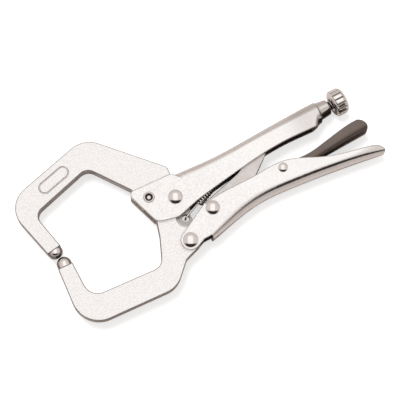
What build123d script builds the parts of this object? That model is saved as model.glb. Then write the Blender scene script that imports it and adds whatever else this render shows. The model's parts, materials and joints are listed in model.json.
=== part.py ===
from build123d import *

import math
import os

os.makedirs("parts", exist_ok=True)

# Locking C-clamp pliers, millimetres. The origin is on the main pivot's axis, in the plane
# that the pliers rest on when they lie flat. +X runs along the adjusting screw to its knob,
# +Y points to the fixed jaw, and +Z stands up off the table.

# Sheet-steel handles
sheet = 1.7
half_width = 5.35
head_height = 1.7
rim_height = 0.6
mid = half_width + head_height
inner_half = half_width - sheet

# Forged jaws, link and lever, all inside the channels
jaw_half = 3.5
lever_sheet = 1.4
link_half = 3.0
lug_half = 1.6
edge_round = 0.5
running_gap = 0.05

# Pivots, as (X, Y)
main_pivot = (0.0, 0.0)
jaw_rivet_at = (-11.1, 5.5)
jaw_lever_pivot = (-3.3, -21.4)
toggle_pivot = (13.1, -12.6)
release_pivot = (51.6, -10.9)
link_nose = (49.5, 4.6)
nose_r = 2.1
spring_hole = (-0.1, -10.7)
main_shank = 2.4
lever_shank = 2.2
toggle_shank = 2.2
release_shank = 1.4
jaw_rivet_shank = 1.7
hub_r = 6.5

# Adjusting screw, its collar and its knob
screw_y = 6.2
screw_r = 2.5
screw_start = 53.2
point_r = 1.8
point_length = 5.8
channel_end = 74.0
collar_start = 81.0
collar_end = 86.3
collar_r = 4.4
collar_end_r = 3.8
knob_start = 88.3
knob_end = 95.0
knob_r = 6.5
land_start = 89.7
land_end = 93.0
recess = 1.1
recess_r = 3.3
knob_flutes = 16
flute_r = 0.42

# Oval groove stamped in the fixed jaw
oval_at = (-46.6, 33.7, 0)
oval_turn = 14.5
oval_size = (16.8, 5.8)
groove = 0.5
groove_depth = 0.25

# Clamping tips, pressed into the jaws' ends
tip_r = 3.5
peg_r = 1.5
peg_length = 4.0
upper_tip_height = 3.8
lower_tip_height = 4.85
# The jaws' end faces run between these corners, with the tip on each one's left side
upper_end = ((-57.8, 4.5), (-64.9, 3.5))
lower_end = ((-63.8, -4.9), (-56.5, -5.1))

# Tension spring, from the lower jaw's lug to the tab inside the upper handle
spring_wire = 0.45
coil_r = 2.4
coil_from = (8.6, -6.9)
coil_to = (25.2, 0.5)
tab_x = 30.6
tab_sheet = 1.3
tab_hole_y = 2.6


def level(height=0.0):
    """The horizontal plane at a height above the pliers' mid-plane."""
    return Plane.XY.offset(mid + height)


def upright(x):
    """The plane across the pliers at x, with its sketch's x along +Z and its y along +Y."""
    return Plane(origin=(x, 0, mid), x_dir=(0, 0, 1), z_dir=(-1, 0, 0))


def finish(piece, label):
    """Names a finished piece and writes it to its own file."""
    piece.part.label = label
    export_step(piece.part, f"parts/{label}.step")


def outline(height, *corners):
    """A flat outline at a height, from corners of x, y and rounding radius."""
    with BuildSketch(level(height)) as drawn:
        with BuildLine():
            FilletPolyline(
                *[(x, y) for x, y, _ in corners],
                radius=[radius for _, _, radius in corners],
                close=True,
            )
        make_face()
    return drawn.sketch


def discs(height, radius, *centres):
    """Round outlines of one radius at a height."""
    with BuildSketch(level(height)) as drawn:
        with Locations(*centres):
            Circle(radius)
    return drawn.sketch


def u_section(x, opening, spine, half, corner, gauge=sheet):
    """One U-shaped section of folded sheet at x, with its spine at y = spine."""
    way = 1 if opening > spine else -1
    bend = spine + way * corner
    inner = spine + way * gauge
    wall = half - gauge
    flat = half - corner
    turn = 1 - math.sqrt(0.5)
    out = corner * turn
    back = (corner - gauge) * turn
    with BuildSketch(upright(x)) as drawn:
        with BuildLine():
            Line((-half, opening), (-half, bend))
            ThreePointArc((-half, bend), (-half + out, spine + way * out), (-flat, spine))
            Line((-flat, spine), (flat, spine))
            ThreePointArc((flat, spine), (half - out, spine + way * out), (half, bend))
            Line((half, bend), (half, opening))
            Line((half, opening), (wall, opening))
            Line((wall, opening), (wall, bend))
            ThreePointArc((wall, bend), (wall - back, inner + way * back), (flat, inner))
            Line((flat, inner), (-flat, inner))
            ThreePointArc((-flat, inner), (-wall + back, inner + way * back), (-wall, bend))
            Line((-wall, bend), (-wall, opening))
            Line((-wall, opening), (-half, opening))
        make_face()
    return drawn.sketch


def evened(stations, count=24, rounds=3):
    """Evenly spaced sections from one station to the last, with their values smoothed along X."""
    first = stations[0][0]
    length = stations[-1][0] - first
    rows = []
    for step in range(count):
        x = first + length * step / (count - 1)
        near = max(index for index, station in enumerate(stations[:-1]) if station[0] <= x + 1e-9)
        start, end = stations[near], stations[near + 1]
        part = (x - start[0]) / (end[0] - start[0])
        rows.append([low + part * (high - low) for low, high in zip(start, end)])
    for _ in range(rounds):
        inner = [
            [(before + 2 * here + after) / 4 for before, here, after in zip(*rows[index : index + 3])]
            for index in range(count - 2)
        ]
        rows = [rows[0], *inner, rows[-1]]
    return rows


def rounded_section(x, centre_y, width, height, radius):
    """A rounded rectangle across the pliers at x."""
    with BuildSketch(upright(x)) as drawn:
        with Locations((0, centre_y)):
            RectangleRounded(width, height, radius)
    return drawn.sketch


def capped_section(x, bottom, top, bend):
    """A rectangle across the pliers at x, with the two corners at its top rounded."""
    with BuildSketch(upright(x)) as drawn:
        with Locations((0, (bottom + top) / 2)):
            Rectangle(2 * half_width, top - bottom)
        fillet(drawn.vertices().group_by(Axis.Y)[-1], radius=bend)
    return drawn.sketch


def round_section(x, centre_y, radius):
    """A circle across the pliers at x."""
    with BuildSketch(upright(x)) as drawn:
        with Locations((0, centre_y)):
            Circle(radius)
    return drawn.sketch


def rivet(label, centre, shank_r, head_r):
    """A rivet through both walls: a domed head on top, and a flattened one below."""
    flat_r = 0.45 * head_r
    rim = half_width + rim_height
    rise = min(head_height - rim_height, head_r / 3)
    ball_r = (head_r**2 + rise**2) / (2 * rise)
    part_way = 0.6 * head_r
    part_rise = rise - ball_r + math.sqrt(ball_r**2 - part_way**2)
    across = Plane(origin=(*centre, mid), x_dir=(1, 0, 0), z_dir=(0, -1, 0))
    with BuildPart() as piece:
        with BuildSketch(across):
            with BuildLine():
                Line((0, -mid), (flat_r, -mid))
                ThreePointArc((flat_r, -mid), (0.8 * head_r, -0.3 * rim - 0.7 * mid), (head_r, -rim))
                Polyline(
                    (head_r, -rim),
                    (head_r, -half_width),
                    (shank_r, -half_width),
                    (shank_r, half_width),
                    (head_r, half_width),
                    (head_r, rim),
                )
                ThreePointArc((head_r, rim), (part_way, rim + part_rise), (0, rim + rise))
                Line((0, rim + rise), (0, -mid))
            make_face()
        revolve(axis=Axis((*centre, 0), (0, 0, 1)))
    finish(piece, label)


def hollow_rivet(label, centre, shank_r, head_r):
    """A low rivet with a cupped head, set nearly flush with both walls."""
    crown = half_width + 0.45
    cup_r = 0.62 * head_r
    cup_floor = half_width - 0.5
    across = Plane(origin=(*centre, mid), x_dir=(1, 0, 0), z_dir=(0, -1, 0))
    with BuildPart() as piece:
        with BuildSketch(across):
            with BuildLine():
                Polyline(
                    (0, -cup_floor),
                    (0.5 * cup_r, -cup_floor),
                    (cup_r, -crown),
                    (head_r - 0.4, -crown),
                    (head_r, -half_width),
                    (shank_r, -half_width),
                    (shank_r, half_width),
                    (head_r, half_width),
                    (head_r - 0.4, crown),
                    (cup_r, crown),
                    (0.5 * cup_r, cup_floor),
                    (0, cup_floor),
                    close=True,
                )
            make_face()
        revolve(axis=Axis((*centre, 0), (0, 0, 1)))
    finish(piece, label)


def end_side_waste(top, shoulder, point, heel, bottom):
    """What lies outside a spoon's rounded end, seen from the side, for cutting away."""
    with BuildSketch(level(-2 * half_width)) as drawn:
        with BuildLine():
            ThreePointArc(top, shoulder, point)
            ThreePointArc(point, heel, bottom)
            Polyline(
                bottom,
                (bottom[0], bottom[1] - 3),
                (point[0] + 3, bottom[1] - 3),
                (point[0] + 3, top[1] + 3),
                (top[0], top[1] + 3),
                top,
            )
        make_face()
    return drawn.sketch


def nut_waste():
    """What is turned away round the nut, as a half profile above the screw's axis."""
    clear_r = 2 * half_width
    shoulder = (collar_start - 5.8, half_width + 3.6)
    brow = (collar_start - 1.0, half_width + 0.2)
    with BuildSketch(Plane(origin=(0, screw_y, mid))) as drawn:
        with BuildLine():
            ThreePointArc(shoulder, (collar_start - 4.0, half_width + 1.3), brow)
            Polyline(
                brow,
                (collar_start, collar_r),
                (collar_end, collar_end_r),
                (collar_end + 1, collar_end_r),
                (collar_end + 1, clear_r),
                (shoulder[0], clear_r),
                shoulder,
            )
        make_face()
    return drawn.sketch


# ------------------------------------------------------------------- handles
def upper_handle():
    """Folded channel with two flat ears round the jaws and a round nut at the rear."""
    ears = (
        (-17.1, 11.8, 0.9),
        (-18.6, 9.6, 0.8),
        (-13.0, -6.8, 4.6),
        (-3.0, -9.2, 6.0),
        (8.0, -6.3, 0),
        (8.0, 5.6, 0),
        (3.4, 10.9, 2.0),
    )
    bottom = -0.4
    top = 11.1
    bend = 5.2
    # x, opening, spine, half width, bend radius
    sections = (
        (4.6, -6.95, 10.2, half_width, 3.9),
        (12.0, -5.45, 9.75, half_width, 3.9),
        (24.0, -3.65, 9.05, half_width, 3.9),
        (36.0, -1.85, 9.3, half_width, 3.9),
        (48.0, -0.35, 9.9, half_width, 3.9),
        (60.0, 0.25, 10.5, half_width, 4.5),
        (channel_end, bottom, top, half_width, bend),
    )
    with BuildPart() as piece:
        loft(sections=[u_section(*place) for place in evened(sections)])
        for side in (-half_width, inner_half):
            extrude(outline(side, *ears), amount=sheet)
        # Solid rear end, turned down to a round nut
        extrude(
            capped_section(channel_end, bottom, top, bend),
            amount=channel_end - collar_end,
        )
        revolve(nut_waste(), axis=Axis((0, screw_y, mid), (1, 0, 0)), mode=Mode.SUBTRACT)
        chamfer(piece.faces().sort_by(Axis.X)[-1].edges(), length=0.4)
        # Tab for the spring, pressed down out of the spine
        extrude(rounded_section(tab_x, 5.0, 4.4, 8.2, 1.2), amount=-tab_sheet)
        extrude(
            round_section(tab_x - 1, tab_hole_y, 2 * spring_wire),
            amount=-tab_sheet - 2,
            mode=Mode.SUBTRACT,
        )
        extrude(
            round_section(channel_end - 1, screw_y, screw_r + running_gap),
            amount=channel_end - collar_end - 2,
            mode=Mode.SUBTRACT,
        )
        extrude(
            discs(-half_width, main_shank, main_pivot),
            amount=2 * half_width,
            mode=Mode.SUBTRACT,
        )
        extrude(
            discs(-half_width, jaw_rivet_shank, jaw_rivet_at),
            amount=2 * half_width,
            mode=Mode.SUBTRACT,
        )
    finish(piece, "upper_handle")


def lower_handle():
    """Deep folded channel with two ears at the front and a shallow spoon at the rear."""
    ear_r = 4.65
    ears = (
        (-5.6, -17.4, 0),
        (11.0, -8.7, 0),
        (11.0, -19.5, 0),
        (6.6, -22.0, 0),
        (6.6, -23.9, 0.4),
        (2.8, -23.9, 1.0),
        (-1.4, -25.7, 0),
    )
    # x, opening, spine, half width, bend radius
    sections = (
        (6.6, -10.95, -25.75, half_width, 2.6),
        (9.5, -9.45, -25.15, half_width, 3.0),
        (12.6, -8.5, -24.45, half_width, 3.4),
        (16.0, -8.15, -23.6, half_width, 3.8),
        (20.0, -8.05, -22.6, half_width, 4.3),
        (29.0, -8.15, -20.75, half_width, 5.0),
        (37.0, -8.5, -20.1, half_width, 5.2),
        (41.0, -8.1, -20.15, half_width, 5.2),
        (45.0, -7.6, -20.4, half_width, 5.2),
        (49.5, -7.25, -20.8, half_width, 5.2),
        (53.0, -7.4, -21.1, half_width, 5.2),
        (57.0, -8.3, -21.5, half_width, 5.2),
        (61.0, -10.05, -21.85, half_width, 5.2),
        (65.0, -12.3, -22.25, half_width, 5.2),
        (69.2, -14.5, -22.7, half_width, 5.1),
        (73.7, -16.4, -23.2, half_width, 4.9),
        (78.0, -17.6, -23.75, half_width, 4.8),
        (84.0, -18.7, -24.55, 5.25, 4.7),
        (91.0, -20.0, -25.6, 4.8, 4.4),
        (96.0, -21.0, -26.4, 4.2, 3.9),
        (99.7, -21.8, -26.95, 3.3, 3.1),
    )
    with BuildPart() as piece:
        loft(sections=[u_section(*place) for place in evened(sections)])
        # The spoon's cheeks are rounded off at its end
        extrude(
            end_side_waste((94.9, -21.0), (98.3, -22.5), (99.7, -25.2), (98.9, -26.4), (97.0, -27.2)),
            amount=4 * half_width,
            mode=Mode.SUBTRACT,
        )
        for side in (-half_width, inner_half):
            extrude(outline(side, *ears), amount=sheet)
            extrude(discs(side, ear_r, jaw_lever_pivot), amount=sheet)
        extrude(
            discs(-half_width, lever_shank, jaw_lever_pivot, toggle_pivot),
            amount=2 * half_width,
            mode=Mode.SUBTRACT,
        )
        extrude(
            discs(-half_width, release_shank, release_pivot),
            amount=2 * half_width,
            mode=Mode.SUBTRACT,
        )
    finish(piece, "lower_handle")


# ---------------------------------------------------------------------- jaws
def tip_plane(end):
    """The plane of a jaw's end face at its middle, with its normal out along the tip."""
    (first_x, first_y), (last_x, last_y) = end
    middle = ((first_x + last_x) / 2, (first_y + last_y) / 2, mid)
    return Plane(origin=middle, x_dir=(0, 0, 1), z_dir=(first_y - last_y, last_x - first_x, 0))


def peg_hole(end):
    """The outline of the bore for a tip's peg, in a jaw's end face."""
    with BuildSketch(tip_plane(end)) as drawn:
        Circle(peg_r)
    return drawn.sketch


def upper_jaw():
    """Forged C-shaped arm, fixed between the upper handle's ears."""
    arm = outline(
        -jaw_half,
        (3.5, 14.9, 2.5),
        (-25.1, 45.5, 13.0),
        (-72.3, 33.3, 12.0),
        (*upper_end[1], 0),
        (*upper_end[0], 0),
        (-61.9, 22.9, 4.5),
        (-30.5, 31.7, 5.5),
        (-16.6, 12.6, 0),
        (-16.0, 1.8, 1.5),
        (2.7, 1.8, 0),
    )
    with BuildPart() as piece:
        extrude(arm, amount=2 * jaw_half)
        extrude(discs(-jaw_half, hub_r + 0.5, main_pivot), amount=2 * jaw_half, mode=Mode.SUBTRACT)
        rims = piece.edges().group_by(Axis.Z)
        fillet(rims[0] + rims[-1], radius=edge_round)
        extrude(
            discs(-jaw_half, jaw_rivet_shank, jaw_rivet_at),
            amount=2 * jaw_half,
            mode=Mode.SUBTRACT,
        )
        extrude(peg_hole(upper_end), amount=-peg_length, mode=Mode.SUBTRACT)
        # Empty oval stamped in the upper face
        with BuildSketch(level(jaw_half)):
            with Locations(Location(oval_at, (0, 0, oval_turn))):
                SlotOverall(*oval_size)
                SlotOverall(oval_size[0] - 2 * groove, oval_size[1] - 2 * groove, mode=Mode.SUBTRACT)
        extrude(amount=-groove_depth, mode=Mode.SUBTRACT)
    finish(piece, "upper_jaw")


def lower_jaw():
    """Forged C-shaped arm with the main pivot's hub, the lever's eye and the spring's lug."""
    arm = outline(
        -jaw_half,
        (*lower_end[0], 0),
        (-66.1, -35.6, 13.0),
        (-18.9, -38.2, 12.0),
        (-8.8, -28.4, 2.5),
        (0.5, -25.4, 3.0),
        (2.2, -18.5, 4.0),
        (2.6, -9.5, 2.0),
        (6.2, -4.0, 2.0),
        (4.0, 5.0, 0),
        (-5.8, 1.2, 0),
        (-11.6, -1.2, 2.5),
        (-15.2, -13.2, 8.0),
        (-20.6, -26.0, 5.5),
        (-56.5, -23.6, 7.0),
        (*lower_end[1], 0),
    )
    with BuildPart() as piece:
        extrude(arm, amount=2 * jaw_half)
        extrude(discs(-jaw_half, hub_r, main_pivot), amount=2 * jaw_half)
        rims = piece.edges().group_by(Axis.Z)
        fillet(rims[0] + rims[-1], radius=edge_round)
        # The lug is thinned from both faces round the spring's hole
        for side in (-jaw_half, jaw_half):
            depth = math.copysign(jaw_half - lug_half, -side)
            extrude(discs(side, 4.5, spring_hole), amount=depth, mode=Mode.SUBTRACT)
        extrude(discs(-jaw_half, 1.8, spring_hole), amount=2 * jaw_half, mode=Mode.SUBTRACT)
        extrude(
            discs(-jaw_half, main_shank + running_gap, main_pivot),
            amount=2 * jaw_half,
            mode=Mode.SUBTRACT,
        )
        extrude(
            discs(-jaw_half, lever_shank + running_gap, jaw_lever_pivot),
            amount=2 * jaw_half,
            mode=Mode.SUBTRACT,
        )
        extrude(peg_hole(lower_end), amount=-peg_length, mode=Mode.SUBTRACT)
    finish(piece, "lower_jaw")


def jaw_tip(label, end, height):
    """A domed clamping tip with a peg that is pressed into the jaw's end."""
    collar = 0.25 * height
    flat_r = 0.2 * tip_r
    face = tip_plane(end)
    across = Vector(0, 0, 1).cross(face.z_dir)
    with BuildPart() as piece:
        with BuildSketch(Plane(origin=face.origin, x_dir=(0, 0, 1), z_dir=across)):
            with BuildLine():
                Polyline(
                    (flat_r, height),
                    (0, height),
                    (0, -peg_length),
                    (peg_r, -peg_length),
                    (peg_r, 0),
                    (tip_r, 0),
                    (tip_r, collar),
                )
                ThreePointArc(
                    (tip_r, collar),
                    (0.76 * tip_r, collar + 0.68 * (height - collar)),
                    (flat_r, height),
                )
            make_face()
        revolve(axis=Axis(face.origin, face.z_dir))
    finish(piece, label)


# ----------------------------------------------------------- toggle mechanism
def toggle_link():
    """Flat bar from the lower handle to the adjusting screw, with its nose in the channel."""
    bar = outline(
        -link_half,
        (7.4, -9.5, 4.4),
        (31.0, -3.3, 20.0),
        (39.0, 0.1, 12.0),
        (49.8, 7.5, nose_r - 0.05),
        (52.3, 4.3, nose_r - 0.05),
        (46.9, -1.9, 6.0),
        (38.0, -8.7, 1.5),
        (10.0, -18.3, 4.4),
    )
    with BuildPart() as piece:
        extrude(bar, amount=2 * link_half)
        rims = piece.edges().group_by(Axis.Z)
        chamfer(rims[0] + rims[-1], length=0.3)
        extrude(
            discs(-link_half, toggle_shank + running_gap, toggle_pivot),
            amount=2 * link_half,
            mode=Mode.SUBTRACT,
        )
    finish(piece, "toggle_link")


def release_lever():
    """Folded lever with a nose under the link and a spoon-shaped thumb tail."""
    # x, opening, spine, half width, bend radius
    sections = (
        (40.4, -10.6, -13.2, 3.4, 1.7),
        (46.0, -9.4, -13.4, 3.4, 1.8),
        (52.0, -8.6, -13.6, 3.4, 1.9),
        (59.0, -9.7, -14.0, 3.4, 2.1),
        (65.0, -10.4, -14.4, 3.45, 2.4),
        (71.0, -9.7, -14.6, 3.8, 2.8),
        (77.0, -8.6, -14.5, 4.5, 3.4),
        (84.0, -7.4, -14.2, 5.0, 4.0),
        (91.0, -6.4, -14.0, 5.1, 4.3),
        (97.6, -6.6, -13.8, 5.0, 4.3),
    )
    with BuildPart() as piece:
        loft(sections=[u_section(*place, gauge=lever_sheet) for place in evened(sections)])
        extrude(
            end_side_waste((92.6, -6.3), (96.3, -7.9), (97.6, -10.9), (96.9, -12.8), (94.3, -14.4)),
            amount=4 * half_width,
            mode=Mode.SUBTRACT,
        )
        extrude(
            discs(-half_width, release_shank + running_gap, release_pivot),
            amount=2 * half_width,
            mode=Mode.SUBTRACT,
        )
    finish(piece, "release_lever")


def adjusting_screw():
    """Screw that the link's nose bears on, with a stub that carries the knob."""
    stub_r = screw_r - 0.5
    thread_start = screw_start + point_length
    stub_start = knob_start + recess
    with BuildPart() as piece:
        loft(
            sections=[
                round_section(screw_start, screw_y, point_r),
                round_section(thread_start, screw_y, screw_r),
            ]
        )
        extrude(round_section(thread_start, screw_y, screw_r), amount=thread_start - stub_start)
        extrude(round_section(stub_start - 1, screw_y, stub_r), amount=stub_start - knob_end)
    finish(piece, "adjusting_screw")


def adjusting_knob():
    """Fluted knob on the screw's stub, with a rounded shoulder each side of its lands."""
    bore_r = screw_r - 0.5 + running_gap
    front_r = knob_r - 2.4
    back_r = knob_r - 1.4
    with BuildPart() as piece:
        with BuildSketch(Plane(origin=(0, screw_y, mid))):
            with BuildLine():
                Polyline(
                    (knob_end, back_r),
                    (knob_end, bore_r),
                    (knob_start + recess, bore_r),
                    (knob_start + recess, recess_r),
                    (knob_start, recess_r),
                    (knob_start, front_r),
                )
                ThreePointArc(
                    (knob_start, front_r),
                    (knob_start + 0.4, knob_r - 0.8),
                    (land_start, knob_r),
                )
                Line((land_start, knob_r), (land_end, knob_r))
                ThreePointArc(
                    (land_end, knob_r),
                    (land_end + 1.2, knob_r - 0.5),
                    (knob_end, back_r),
                )
            make_face()
        revolve(axis=Axis((0, screw_y, mid), (1, 0, 0)))
        with BuildSketch(upright(knob_start + 0.8)):
            with Locations((0, screw_y)):
                with PolarLocations(knob_r + 0.05, knob_flutes):
                    Circle(flute_r)
        extrude(amount=knob_start - knob_end, mode=Mode.SUBTRACT)
    finish(piece, "adjusting_knob")


def tension_spring():
    """Return spring: the coil's outer shape with a hooked wire at each end."""
    along = Vector(coil_to[0] - coil_from[0], coil_to[1] - coil_from[1], 0)
    coil = along.length
    along = along.normalized()
    start = Plane(origin=(*coil_from, mid), x_dir=(0, 0, 1), z_dir=along)
    hook_rise = lug_half + 0.35 + spring_wire
    reach = Vector(coil_from[0] - spring_hole[0], coil_from[1] - spring_hole[1], 0).length
    upward = Plane(origin=(*spring_hole, mid), x_dir=along, z_dir=(along.Y, -along.X, 0))
    with BuildPart() as piece:
        with BuildSketch(start):
            Circle(coil_r)
        extrude(amount=coil)
        fillet(piece.edges().filter_by(GeomType.CIRCLE), radius=0.4)
        # Front hook: over the lug's near face and down through its hole
        with BuildLine(upward) as front:
            FilletPolyline(
                (0, -hook_rise), (0, hook_rise), (reach - 2.2, hook_rise), (reach + 1, 0.4), radius=1
            )
        with BuildSketch(Plane(origin=front.line @ 0, z_dir=front.line % 0)):
            Circle(spring_wire)
        sweep(path=front.line)
        # Rear hook: straight through the tab's hole, then up behind it
        with BuildLine(level()) as rear:
            FilletPolyline(
                (coil_to[0] - 1.0, coil_to[1] - 0.4),
                (tab_x - 2.2, tab_hole_y),
                (tab_x + tab_sheet + 1.6, tab_hole_y),
                (tab_x + tab_sheet + 1.6, tab_hole_y + 3.0),
                radius=1.0,
            )
        with BuildSketch(Plane(origin=rear.line @ 0, z_dir=rear.line % 0)):
            Circle(spring_wire)
        sweep(path=rear.line)
    finish(piece, "tension_spring")


upper_handle()
lower_handle()
upper_jaw()
lower_jaw()
jaw_tip("upper_jaw_tip", upper_end, upper_tip_height)
jaw_tip("lower_jaw_tip", lower_end, lower_tip_height)
rivet("main_pivot_rivet", main_pivot, main_shank, 3.35)
rivet("jaw_lever_rivet", jaw_lever_pivot, lever_shank, 3.5)
rivet("toggle_rivet", toggle_pivot, toggle_shank, 3.3)
rivet("release_lever_rivet", release_pivot, release_shank, 2.25)
hollow_rivet("upper_jaw_rivet", jaw_rivet_at, jaw_rivet_shank, 2.7)
toggle_link()
release_lever()
adjusting_screw()
adjusting_knob()
tension_spring()
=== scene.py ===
import json
import math

import bmesh
import bpy
from mathutils import Matrix, Vector


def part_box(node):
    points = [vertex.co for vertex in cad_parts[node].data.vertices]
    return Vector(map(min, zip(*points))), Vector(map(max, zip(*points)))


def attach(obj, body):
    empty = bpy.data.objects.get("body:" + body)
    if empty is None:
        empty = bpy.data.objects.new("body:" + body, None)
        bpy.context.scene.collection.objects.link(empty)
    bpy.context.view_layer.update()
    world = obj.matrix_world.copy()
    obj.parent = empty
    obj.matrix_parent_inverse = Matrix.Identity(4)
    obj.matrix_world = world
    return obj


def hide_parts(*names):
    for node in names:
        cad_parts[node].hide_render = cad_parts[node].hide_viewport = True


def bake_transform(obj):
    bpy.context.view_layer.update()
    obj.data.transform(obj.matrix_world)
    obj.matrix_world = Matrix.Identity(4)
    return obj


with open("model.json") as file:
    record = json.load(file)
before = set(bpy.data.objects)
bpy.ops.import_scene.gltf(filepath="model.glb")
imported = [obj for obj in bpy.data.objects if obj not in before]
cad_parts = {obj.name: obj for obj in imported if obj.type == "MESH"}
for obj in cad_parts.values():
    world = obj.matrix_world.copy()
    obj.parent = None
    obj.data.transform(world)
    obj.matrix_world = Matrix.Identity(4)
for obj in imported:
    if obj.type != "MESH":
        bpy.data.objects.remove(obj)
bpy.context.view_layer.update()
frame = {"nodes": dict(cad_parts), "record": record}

MM = 0.001
MID = (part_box("upper_jaw")[0].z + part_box("upper_jaw")[1].z) / 2

# Tension spring: wire, coil and what its hooks hold
WIRE_R = 0.45
COIL_R = 1.95
COIL_PITCH = 1.35
STEPS_A_TURN = 28
COIL_FROM = Vector((8.6, -6.9, 0.0))
COIL_TO = Vector((25.2, 0.5, 0.0))
LUG_HOLE = Vector((-0.1, -10.7, 0.0))
LUG_LOW = Vector((0.6, 0.6, 0.0))
HOOK_RISE = 2.4
TAB_AT = Vector((30.6, 2.6, 0.0))

# Adjusting screw
SCREW_Y = 6.2
CREST_R = 2.5
ROOT_R = 1.95
POINT_R = 1.8
STUB_R = 2.0
THREAD_PITCH = 1.25
POINT_LENGTH = 5.8
KNOB_START = 89.4
KNOB_R = 6.5
SIDES_ROUND = 48
ROWS_A_PITCH = 10

# Camera: where it stands, what it looks at, and which way is up in the picture
CAMERA_AT = Vector((-75.5, -109.5, 618.0)) * MM
LOOK_AT = Vector((10.2, -5.8, 7.05)) * MM
PICTURE_UP = Vector((math.sin(math.radians(28.05)), math.cos(math.radians(28.05)), 0))
LENS = 119.4
SENSOR = 36.0


def on_pliers(point):
    """A point in millimetres about the mid-plane, as a place on the pliers in metres."""
    return Vector((point[0] * MM, point[1] * MM, point[2] * MM + MID))


# ------------------------------------------------------------------ node maths
class Wire:
    """A node's output that can stand in a Python expression."""

    def __init__(self, tree, socket):
        self.tree = tree
        self.socket = socket

    def sum_of(self, operation, first, second):
        """A Math node on two numbers or wires."""
        node = self.tree.nodes.new("ShaderNodeMath")
        node.operation = operation
        for slot, value in zip(node.inputs, (first, second)):
            if isinstance(value, Wire):
                self.tree.links.new(value.socket, slot)
            else:
                slot.default_value = value
        return Wire(self.tree, node.outputs[0])

    def __add__(self, other):
        return self.sum_of("ADD", self, other)

    def __radd__(self, other):
        return self.sum_of("ADD", other, self)

    def __sub__(self, other):
        return self.sum_of("SUBTRACT", self, other)

    def __rsub__(self, other):
        return self.sum_of("SUBTRACT", other, self)

    def __mul__(self, other):
        return self.sum_of("MULTIPLY", self, other)

    def __rmul__(self, other):
        return self.sum_of("MULTIPLY", other, self)

    def __neg__(self):
        return self.sum_of("MULTIPLY", self, -1.0)

    def __truediv__(self, other):
        return self.sum_of("DIVIDE", self, other)

    def __rtruediv__(self, other):
        return self.sum_of("DIVIDE", other, self)

    def __pow__(self, other):
        return self.sum_of("POWER", self, other)

    def over(self, limit):
        """1 where this is above the limit, else 0."""
        return self.sum_of("GREATER_THAN", self, limit)

    def size(self):
        """This without its sign."""
        return self.sum_of("ABSOLUTE", self, 0.0)

    def most(self, other):
        """The larger of the two."""
        return self.sum_of("MAXIMUM", self, other)


class Nodes:
    """A node tree, with one method that adds any node to it."""

    def __init__(self, tree):
        self.tree = tree

    def add(self, kind, settings=None, values=None, output=0):
        """A node of this kind: first its settings, then its socket values or links."""
        node = self.tree.nodes.new(kind)
        for key, value in (settings or {}).items():
            setattr(node, key, value)
        for key, value in (values or {}).items():
            self.feed(node.inputs[key], value)
        return Wire(self.tree, node.outputs[output])

    def feed(self, socket, value):
        """Links a wire to a socket, or sets the socket's own value."""
        if isinstance(value, Wire):
            self.tree.links.new(value.socket, socket)
        else:
            socket.default_value = value

    def step(self, value, low, high):
        """0 below the low value, 1 above the high one, smooth between."""
        return self.add("ShaderNodeMapRange", {"interpolation_type": "SMOOTHSTEP"},
                        {"Value": value, "From Min": low, "From Max": high})

    def part_of(self, vector, axis):
        """One of a vector's three numbers."""
        return self.add("ShaderNodeSeparateXYZ", None, {"Vector": vector}, axis)

    def noise(self, where, scale, detail=2.0, roughness=0.5):
        values = {"Vector": where, "Scale": scale, "Detail": detail, "Roughness": roughness}
        return self.add("ShaderNodeTexNoise", {"noise_dimensions": "3D"}, values, "Fac")

    def blend(self, factor, first, second):
        """Mixes two colours by a factor."""
        return self.add(
            "ShaderNodeMix", {"data_type": "RGBA"}, {0: factor, 6: first, 7: second}, output=2
        )


class Finish(Nodes):
    """A material."""

    def __init__(self, name):
        self.material = bpy.data.materials.new(name)
        self.material.use_nodes = True
        super().__init__(self.material.node_tree)
        self.surface = self.tree.nodes["Principled BSDF"]

    def place(self):
        """Position on the pliers in millimetres."""
        where = self.add("ShaderNodeTexCoord", output="Object")
        return self.add("ShaderNodeVectorMath", {"operation": "MULTIPLY"},
                        {0: where, 1: (1000.0, 1000.0, 1000.0)}, "Vector")

    def facing(self, axis):
        """How far the unrounded surface faces along an axis of the pliers."""
        return self.part_of(self.add("ShaderNodeTexCoord", output="Normal"), axis)

    def worn(self, radius):
        """The surface's direction with its corners rounded off."""
        return self.add("ShaderNodeBevel", {"samples": 6}, {"Radius": radius * MM}, "Normal")

    def off_axis(self, where):
        """Distance from the adjusting screw's centre line in millimetres."""
        across = self.part_of(where, "Y") - SCREW_Y
        high = self.part_of(where, "Z") - MID * 1000
        return (across * across + high * high) ** 0.5

    def corner(self, rounded):
        """0 on open faces, rising to 1 where a corner is rounded off: a mask for painted shade
        along edges.
        """
        flat = self.add("ShaderNodeNewGeometry", output="True Normal")
        same = self.add("ShaderNodeVectorMath", {"operation": "DOT_PRODUCT"},
                        {0: rounded, 1: flat}, "Value")
        return self.step(1.0 - same, 0.002, 0.09)

    def bump(self, height, strength, distance, under=None):
        values = {"Height": height, "Strength": strength, "Distance": distance}
        if under is not None:
            values["Normal"] = under
        return self.add("ShaderNodeBump", None, values, "Normal")

    def set(self, **values):
        """Feeds the shader's sockets, named with _ for each space."""
        for key, value in values.items():
            self.feed(self.surface.inputs[key.replace("_", " ")], value)


def tint(red, green, blue):
    """An opaque colour."""
    return (red, green, blue, 1.0)


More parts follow.
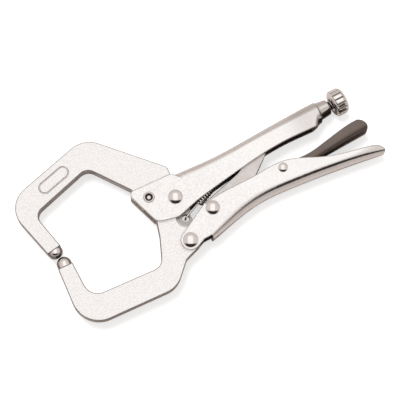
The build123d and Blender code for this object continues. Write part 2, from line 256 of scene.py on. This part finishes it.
# ------------------------------------------------------------------- finishes
def forged_nickel():
    """Matt nickel plate over the shot-blasted skin of a forging, with painted shade along the
    edges, on the side walls and round the lug.
    """
    finish = Finish("forged_nickel")
    where = finish.place()
    grain = finish.noise(where, 1.5, 3.0, 0.7)
    speckle = finish.step(grain, 0.34, 0.62)
    cloud = finish.noise(where, 0.09, 3.0)
    rounded = finish.worn(0.5)
    tilt = 1.0 - finish.facing("Z").size()
    # Painted shade: a dark outline where faces begin to tilt, half as dark on the upright side
    # walls.
    rim = finish.step(tilt, 0.01, 0.12) * (1.0 - 0.5 * finish.step(tilt, 0.6, 0.9))
    # Painted shade on the lower jaw's recessed lug round the spring's hole.
    lug = finish.add("ShaderNodeVectorMath", {"operation": "DISTANCE"},
                     {0: where, 1: tuple(on_pliers(LUG_HOLE + LUG_LOW) / MM)}, "Value")
    shade = (0.9 * rim).most(0.85 * finish.corner(rounded))
    shade = shade.most(0.62 * (1.0 - finish.step(lug, 4.4, 5.6)))
    tone = finish.blend(
        speckle * 0.5 + cloud * 0.3 + 0.1, tint(0.70, 0.68, 0.67), tint(1.0, 0.99, 0.985)
    )
    finish.set(
        Base_Color=finish.blend(shade, tone, tint(0.20, 0.15, 0.13)),
        Metallic=1.0,
        Roughness=0.26 + 0.10 * cloud + 0.08 * grain,
        Normal=finish.bump(grain, 0.8, 0.0001, rounded),
    )
    return finish.material


def link_nickel():
    """Thin dull plate on the link, painted darker in random patches as shade inside the channel."""
    finish = Finish("link_nickel")
    where = finish.place()
    grain = finish.noise(where, 1.9, 3.0, 0.65)
    # Painted shade: the whole link darker than the jaws, in random patches.
    patchy_shade = finish.noise(where, 0.25, 3.0, 0.6)
    finish.set(
        Base_Color=finish.blend(patchy_shade, tint(0.52, 0.485, 0.46), tint(0.80, 0.77, 0.745)),
        Metallic=1.0,
        Roughness=0.30 + 0.15 * grain,
        Normal=finish.bump(grain, 0.35, 0.00005),
    )
    return finish.material


def folded_nickel(name, outward):
    """Nickel plate on folded sheet: grained round the jaws, glossier towards the grip's end, with
    painted shade inside the channel, along the edges and at the upper handle's rear neck. The
    spine's outside faces +Y (outward 1) or -Y (outward -1)."""
    finish = Finish(name)
    where = finish.place()
    along = finish.part_of(where, "X")
    height = finish.part_of(where, "Z") - MID * 1000
    tilt = finish.facing("Z")
    spine = finish.facing("Y") * outward
    wall_inside = (-(tilt * height)).over(0.3)
    spine_inside = (-spine).over(0.2) * (3.6 - height.size()).over(0.0)
    inside = wall_inside.most(spine_inside)
    polish = finish.step(along, 15.0, 55.0).most(finish.step(1.0 - tilt.size(), 0.02, 0.2))
    grain = finish.noise(where, 1.5, 3.0, 0.7)
    speckle = finish.step(grain, 0.34, 0.62)
    cloud = finish.noise(where, 0.08, 3.0)
    rounded = finish.worn(0.4)
    # Painted shade: dark outlines along the sheet's edges, and a light shade on the upper handle's
    # rear neck towards the collar.
    neck = finish.step(along, 58.0, 73.0) * max(outward, 0.0)
    shade = (0.85 * finish.corner(finish.worn(0.9))).most(0.24 * neck)
    unshaded = finish.blend(
        speckle * 0.5 * (1.0 - 0.6 * polish) + cloud * 0.35 + 0.08,
        tint(0.72, 0.70, 0.69),
        tint(1.0, 0.99, 0.985),
    )
    tone = finish.blend(shade, unshaded, tint(0.22, 0.165, 0.14))
    # Painted shade inside the channel: near black and mottled, paler towards the nose.
    mottle = finish.blend(cloud, tint(0.035, 0.027, 0.024), tint(0.10, 0.085, 0.078))
    mottle = finish.blend(finish.step(along, -6.0, 1.0), tint(0.52, 0.465, 0.43), mottle)
    rough = 0.31 - 0.19 * polish + 0.06 * cloud
    finish.set(
        Base_Color=finish.blend(inside, tone, mottle),
        Metallic=1.0,
        Roughness=rough + 0.2 * inside,
        Normal=finish.bump(grain * (1.0 - 0.7 * polish), 0.7, 0.00009, rounded),
    )
    return finish.material


def bright_nickel():
    """Polished nickel plate on rivets, tips and knob, with faint handling marks and painted shade
    on their steep sides.
    """
    finish = Finish("bright_nickel")
    where = finish.place()
    marks = finish.noise(where, 0.8, 4.0, 0.7)
    # Painted shade round the base of the rivet heads and down the tips' steep sides.
    low = finish.step(1.0 - finish.facing("Z").size(), 0.2, 0.36)
    unshaded = finish.blend(marks, tint(0.78, 0.75, 0.73), tint(0.92, 0.90, 0.885))
    finish.set(
        Base_Color=finish.blend(0.8 * low, unshaded, tint(0.08, 0.055, 0.045)),
        Metallic=1.0,
        Roughness=0.08 + 0.12 * marks,
        Normal=finish.bump(marks, 0.12, 0.00004),
    )
    return finish.material


def knob_nickel():
    """Nickel plate on the knob, with painted shade down in its flutes."""
    finish = Finish("knob_nickel")
    where = finish.place()
    out = finish.off_axis(where)
    # Painted shade in the grooves between the lands, kept off the end faces.
    flute_shade = finish.step(KNOB_R - out, 0.06, 0.28) * (1.0 - finish.step(KNOB_R - out, 0.5, 0.9))
    rim = 1.0 - finish.step(finish.facing("X").size(), 0.25, 0.5)
    marks = finish.noise(where, 0.9, 3.0, 0.65)
    unshaded = finish.blend(marks, tint(0.78, 0.75, 0.73), tint(0.96, 0.94, 0.925))
    finish.set(
        Base_Color=finish.blend(0.85 * flute_shade * rim, unshaded, tint(0.05, 0.035, 0.03)),
        Metallic=1.0,
        Roughness=0.10 + 0.12 * marks,
        Normal=finish.bump(marks, 0.1, 0.00004, finish.worn(0.25)),
    )
    return finish.material


def dull_nickel():
    """Dull plate in the cupped rivet, with a mottled tone and a ring of painted shade in its
    hollow.
    """
    finish = Finish("dull_nickel")
    where = finish.place()
    dirt = finish.noise(where, 1.1, 4.0, 0.7)
    low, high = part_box("upper_jaw_rivet")
    off_x = finish.part_of(where, "X") - (low.x + high.x) / 2 / MM
    off_y = finish.part_of(where, "Y") - (low.y + high.y) / 2 / MM
    out = (off_x * off_x + off_y * off_y) ** 0.5
    # Painted shade: a dark ring in the rivet's hollow round its centre.
    ring = finish.step(out, 0.7, 1.1) * (1.0 - finish.step(out, 1.7, 2.2))
    unshaded = finish.blend(dirt, tint(0.58, 0.54, 0.51), tint(0.85, 0.82, 0.80))
    finish.set(
        Base_Color=finish.blend(0.9 * ring, unshaded, tint(0.04, 0.03, 0.025)),
        Metallic=1.0,
        Roughness=0.20 + 0.15 * dirt,
        Normal=finish.bump(dirt, 0.2, 0.00005),
    )
    return finish.material


def lever_coating():
    """Dark grey-brown satin coating on the release lever."""
    finish = Finish("lever_coating")
    where = finish.place()
    grain = finish.noise(where, 2.2, 3.0, 0.6)
    cloud = finish.noise(where, 0.12, 2.0)
    finish.set(
        Base_Color=finish.blend(cloud, tint(0.12, 0.095, 0.085), tint(0.19, 0.155, 0.14)),
        Metallic=0.85,
        Roughness=0.30 + 0.12 * grain,
        Normal=finish.bump(grain, 0.25, 0.00004),
    )
    return finish.material


def thread_steel():
    """Machined steel with painted shade darkening the roots between the crests."""
    finish = Finish("thread_steel")
    where = finish.place()
    out = finish.off_axis(where)
    # Painted shade: near black at the roots, rising to the steel's own tone at the crests.
    crest = finish.add(
        "ShaderNodeMapRange", None, {"Value": out, "From Min": ROOT_R, "From Max": CREST_R}
    )
    mottle = finish.noise(where, 0.9, 3.0, 0.6)
    steel = finish.blend(mottle, tint(0.85, 0.82, 0.80), tint(1.0, 0.98, 0.97))
    finish.set(
        Base_Color=finish.blend(crest ** 2.0, tint(0.03, 0.022, 0.02), steel),
        Metallic=1.0,
        Roughness=0.22 + 0.15 * mottle,
        Normal=finish.bump(mottle, 0.15, 0.00003),
    )
    return finish.material


def spring_steel():
    """Drawn spring wire."""
    finish = Finish("spring_steel")
    where = finish.place()
    drawn = finish.noise(where, 3.0, 2.0, 0.6)
    finish.set(
        Base_Color=finish.blend(drawn, tint(0.78, 0.76, 0.74), tint(1.0, 0.98, 0.97)),
        Metallic=1.0,
        Roughness=0.20 + 0.12 * drawn,
        Normal=finish.bump(drawn, 0.1, 0.00002),
    )
    return finish.material


finishes = {
    "jaw_plate": forged_nickel(),
    "bright_plate": bright_nickel(),
    "dull_rivet": dull_nickel(),
    "dark_lever": lever_coating(),
    "screw_steel": thread_steel(),
    "spring_wire": spring_steel(),
}
own_finish = {
    "upper_handle": folded_nickel("upper_handle_nickel", 1.0),
    "lower_handle": folded_nickel("lower_handle_nickel", -1.0),
    "toggle_link": link_nickel(),
    "adjusting_knob": knob_nickel(),
}

for part in frame["record"]["subparts"]:
    name = part["node"]
    finish = own_finish.get(name) or finishes[part["material_slot"]]
    frame["nodes"][name].data.materials.clear()
    frame["nodes"][name].data.materials.append(finish)


# --------------------------------------------------- pieces with finer shapes
def new_piece(name, mesh, finish):
    """A smooth-shaded object with one finish."""
    piece = bpy.data.objects.new(name, mesh)
    bpy.context.scene.collection.objects.link(piece)
    mesh.materials.clear()
    mesh.materials.append(finish)
    mesh.polygons.foreach_set("use_smooth", [True] * len(mesh.polygons))
    return piece


def softened(points, rounds=3):
    """Cuts a path's corners round, keeping its two ends."""
    for _ in range(rounds):
        cut = [points[0]]
        for first, second in zip(points, points[1:]):
            cut.append(first.lerp(second, 0.25))
            cut.append(first.lerp(second, 0.75))
        points = [*cut, points[-1]]
    return points


def wire(name, points, radius):
    """A round wire along a path, as a mesh."""
    curve = bpy.data.curves.new(name, "CURVE")
    curve.dimensions = "3D"
    curve.bevel_depth = radius * MM
    curve.bevel_resolution = 4
    curve.use_fill_caps = True
    path = curve.splines.new("POLY")
    path.points.add(len(points) - 1)
    for knot, point in zip(path.points, points):
        knot.co = (*on_pliers(point), 1.0)
    guide = bpy.data.objects.new(name + "_path", curve)
    bpy.context.scene.collection.objects.link(guide)
    bpy.context.view_layer.update()
    mesh = bpy.data.meshes.new_from_object(guide)
    bpy.data.objects.remove(guide)
    bpy.data.curves.remove(curve)
    return mesh


def tension_spring():
    """Close-wound coil, hooked down through the lower jaw's lug and up behind the handle's tab."""
    run = COIL_TO - COIL_FROM
    along = run.normalized()
    side = Vector((-along.y, along.x, 0.0))
    up = Vector((0.0, 0.0, 1.0))
    turns = round(run.length / COIL_PITCH)
    steps = STEPS_A_TURN * turns
    coil = []
    for step in range(steps + 1):
        turn = 2 * math.pi * step / STEPS_A_TURN
        out = side * math.sin(turn) + up * math.cos(turn)
        coil.append(COIL_FROM + run * (step / steps) + out * COIL_R)
    front = softened(
        [
            LUG_HOLE - up * HOOK_RISE,
            LUG_HOLE + up * (HOOK_RISE - 0.6),
            LUG_HOLE + up * HOOK_RISE + along * 0.6,
            COIL_FROM - along * 1.2 + up * HOOK_RISE,
            COIL_FROM - along * 0.3 + up * COIL_R - side * 0.3,
        ]
    )
    rear = softened(
        [
            COIL_TO + along * 0.3 + up * COIL_R + side * 0.6,
            COIL_TO + along * 1.2 + side * 1.2,
            TAB_AT + Vector((-2.0, 0.0, 0.0)),
            TAB_AT + Vector((2.4, 0.0, 0.0)),
            TAB_AT + Vector((3.0, 0.6, 0.0)),
            TAB_AT + Vector((3.0, 3.0, 0.0)),
        ]
    )
    piece = new_piece("return_spring", wire("return_spring", [*front, *coil, *rear], WIRE_R),
                      finishes["spring_wire"])
    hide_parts("tension_spring")
    on_pliers(COIL_FROM)
    on_pliers(COIL_TO)
    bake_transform(piece)


def thread_height(x, turn):
    """Radius of the screw at x, on the side that is this much of a turn round."""
    rise = abs(2 * ((x / THREAD_PITCH - turn) % 1.0) - 1)
    rise = min(1.0, max(0.0, 2.0 * rise - 0.6))
    return ROOT_R + (CREST_R - ROOT_R) * rise


def adjusting_screw():
    """Turned point, cut thread, and the stub inside the knob."""
    low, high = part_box("adjusting_screw")
    start, end = low.x * 1000, high.x * 1000
    rows = [(start, 0.0), (start, 0.75 * POINT_R), (start + 0.4, POINT_R)]
    x = start + 0.6
    while x < KNOB_START - 0.3:
        limit = POINT_R + (CREST_R - POINT_R) * min(1.0, (x - start) / POINT_LENGTH)
        rows.append((x, limit, True))
        x += THREAD_PITCH / ROWS_A_PITCH
    rows += [(KNOB_START - 0.2, STUB_R), (end, STUB_R), (end, 0.0)]
    shape = bmesh.new()
    rings = []
    for row in rows:
        ring = []
        for step in range(SIDES_ROUND):
            turn = step / SIDES_ROUND
            radius = min(row[1], thread_height(row[0], turn)) if len(row) > 2 else row[1]
            angle = 2 * math.pi * turn
            place = (row[0], SCREW_Y + radius * math.cos(angle), radius * math.sin(angle))
            ring.append(shape.verts.new(on_pliers(place)))
        rings.append(ring)
    for ring, after in zip(rings, rings[1:]):
        for step in range(SIDES_ROUND):
            turn = (step + 1) % SIDES_ROUND
            shape.faces.new((ring[step], after[step], after[turn], ring[turn]))
    bmesh.ops.remove_doubles(shape, verts=shape.verts, dist=1e-7)
    bmesh.ops.recalc_face_normals(shape, faces=shape.faces)
    mesh = bpy.data.meshes.new("threaded_screw")
    shape.to_mesh(mesh)
    shape.free()
    piece = new_piece("threaded_screw", mesh, finishes["screw_steel"])
    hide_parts("adjusting_screw")
    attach(piece, "adjusting_screw")


tension_spring()
adjusting_screw()


# --------------------------------------------------------------- camera, light
def add_camera():
    """A long lens nearly straight above the pliers."""
    forward = (LOOK_AT - CAMERA_AT).normalized()
    right = forward.cross(PICTURE_UP).normalized()
    up = right.cross(forward)
    turn = Matrix((right, up, -forward)).transposed().to_4x4()
    lens = bpy.data.cameras.new("camera")
    lens.lens = LENS
    lens.sensor_width = SENSOR
    lens.clip_end = 20.0
    camera = bpy.data.objects.new("camera", lens)
    bpy.context.scene.collection.objects.link(camera)
    camera.matrix_world = Matrix.Translation(CAMERA_AT) @ turn
    bpy.context.scene.camera = camera


def add_floor():
    """A plain white floor, duller where the plate mirrors it than where it is seen."""
    mesh = bpy.data.meshes.new("floor")
    half = 3.0
    mesh.from_pydata(
        [(-half, -half, 0), (half, -half, 0), (half, half, 0), (-half, half, 0)], [], [(0, 1, 2, 3)]
    )
    floor = bpy.data.objects.new("floor", mesh)
    bpy.context.scene.collection.objects.link(floor)
    paint = Finish("floor_paint")
    paint.set(
        Base_Color=tint(0.46, 0.46, 0.46),
        Roughness=0.9,
        Specular_IOR_Level=0.0,
        Emission_Color=tint(1.0, 1.0, 1.0),
        Emission_Strength=0.64,
    )
    seen = paint.add("ShaderNodeLightPath", output="Is Camera Ray")
    dull = paint.add("ShaderNodeBsdfDiffuse", None, {"Color": tint(0.46, 0.42, 0.40)})
    surface = Wire(paint.tree, paint.surface.outputs[0])
    mixed = paint.add("ShaderNodeMixShader", None, {0: seen, 1: dull, 2: surface})
    paint.feed(paint.tree.nodes["Material Output"].inputs["Surface"], mixed)
    mesh.materials.append(paint.material)


def add_floor_light():
    """A broad box that lights the floor and the dark coating, and isn't mirrored in the plate."""
    light = bpy.data.lights.new("floor_light", "AREA")
    light.shape = "DISK"
    light.size = 0.45
    light.energy = 11.0
    box = bpy.data.objects.new("floor_light", light)
    bpy.context.scene.collection.objects.link(box)
    box.location = PICTURE_UP * 0.35 + Vector((-0.25, 0.1, 1.0))
    box.rotation_euler = (-box.location).to_track_quat("-Z", "Y").to_euler()
    box.visible_glossy = False


def add_studio():
    """Pale walls, a white box overhead, and the dark room below the edge of it."""
    world = bpy.data.worlds.new("studio")
    bpy.context.scene.world = world
    world.use_nodes = True
    sky = Nodes(world.node_tree)
    down = -PICTURE_UP
    right = Vector((PICTURE_UP.y, -PICTURE_UP.x, 0.0))

    def lean(toward):
        """Angle in degrees from overhead, towards one side."""
        level = sky.add("ShaderNodeVectorMath", {"operation": "DOT_PRODUCT"},
                        {0: direction, 1: tuple(toward)}, "Value")
        return level.sum_of("ARCTAN2", level, overhead) * (180 / math.pi)

    def between(angle, low, high, soft):
        """1 between two angles, falling to 0 over a soft edge."""
        rise = sky.step(angle, low - soft, low + soft)
        return rise * (1.0 - sky.step(angle, high - soft, high + soft))

    direction = sky.add("ShaderNodeTexCoord", output="Generated")
    overhead = sky.part_of(direction, "Z")
    lean_down = lean(down)
    lean_right = lean(right)
    window = between(lean_down, -42.0, 30.0, 4.0) * between(lean_right, -23.0, 23.0, 5.0)
    dark = between(lean_down, 30.0, 64.0, 4.0) * between(lean_right, -55.0, 62.0, 15.0)
    sides = sky.blend(sky.step(overhead, 0.05, 0.75), tint(0.58, 0.52, 0.49),
                      tint(0.78, 0.715, 0.675))
    walls = sky.blend(window, sides, tint(1.16, 1.14, 1.13))
    room = sky.blend(dark, walls, tint(0.022, 0.016, 0.015))
    sky.feed(sky.tree.nodes["Background"].inputs["Color"], room)
    sky.tree.nodes["Background"].inputs["Strength"].default_value = 1.0


add_camera()
add_floor()
add_floor_light()
add_studio()
bpy.context.scene.view_settings.view_transform = "Standard"
